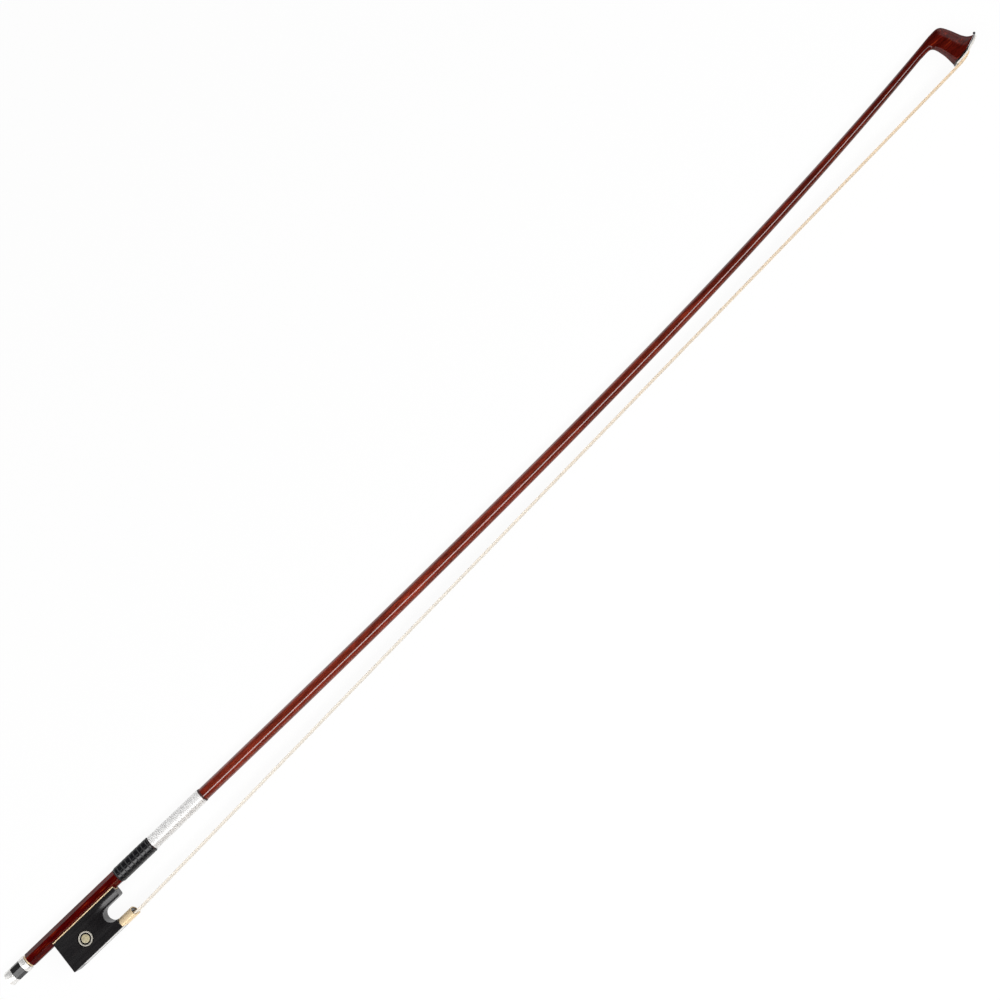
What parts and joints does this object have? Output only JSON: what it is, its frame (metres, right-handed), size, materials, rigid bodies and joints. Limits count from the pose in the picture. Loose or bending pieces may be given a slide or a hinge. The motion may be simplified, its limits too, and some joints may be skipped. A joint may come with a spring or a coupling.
{
  "type": "violin bow",
  "caption": "Cambered wooden violin bow with a horsehair ribbon, a sliding black frog tightened by an octagonal screw button, a leather grip and a silver wire winding.",
  "frame": {"origin": "under the middle of the bow's bounding box, with the bow lying on its side", "axes": "+X along the handle from the button to the tip, +Y from the hair to the stick, +Z through the bow's thickness"},
  "size_m": [0.745, 0.0488, 0.013],
  "materials": {
    "stick_wood": "dark red-brown wood, glossy varnish",
    "ebony": "black wood, satin",
    "boxwood": "pale wood, unfinished",
    "silver": "polished silver",
    "gilt": "satin gilt metal",
    "brass": "plain brass",
    "steel": "machined steel",
    "leather": "black grained leather",
    "pearl": "mother of pearl, glossy",
    "white_plate": "ivory-white plate, satin",
    "horsehair": "white horsehair, rosined"
  },
  "bodies": {
    "stick": {"stick": "stick_wood", "nipple_collar": "gilt", "leather_grip": "leather", "winding_wire": "silver", "winding_end_band": "ebony", "tip_liner": "ebony", "tip_plate": "white_plate", "head_plug": "boxwood", "head_hair_knot": "horsehair", "hair_ribbon": "horsehair"},
    "frog": {"frog": "ebony", "underslide": "gilt", "liner_pin_rear": "brass", "liner_pin_front": "brass", "eyelet": "brass", "ferrule": "gilt", "ferrule_wedge": "boxwood", "frog_hair_knot": "horsehair", "frog_plug": "boxwood", "slide_backing": "ebony", "pearl_slide": "pearl", "eye_ring_right": "silver", "eye_ring_left": "silver", "eye_pearl_right": "pearl", "eye_pearl_left": "pearl"},
    "screw": {"screw_rod": "steel", "button_core": "ebony", "button_ring_front": "silver", "button_ring_rear": "silver"}
  },
  "joints": [
    {"name": "screw_turn", "type": "hinge", "parent": "stick", "child": "screw", "pos_m": [-0.35, -0.00172, 0.0065], "axis": [1, 0, 0], "range_deg": [-2058, 1544]},
    {"name": "frog_slide", "type": "slide", "parent": "stick", "child": "frog", "axis": [-1, 0, 0], "range_m": [-0.004, 0.003], "deforming": ["hair_ribbon"]}
  ],
  "couplings": [
    {"joint": "screw_turn", "follows": "frog_slide", "rad_per_m": 8976}
  ]
}
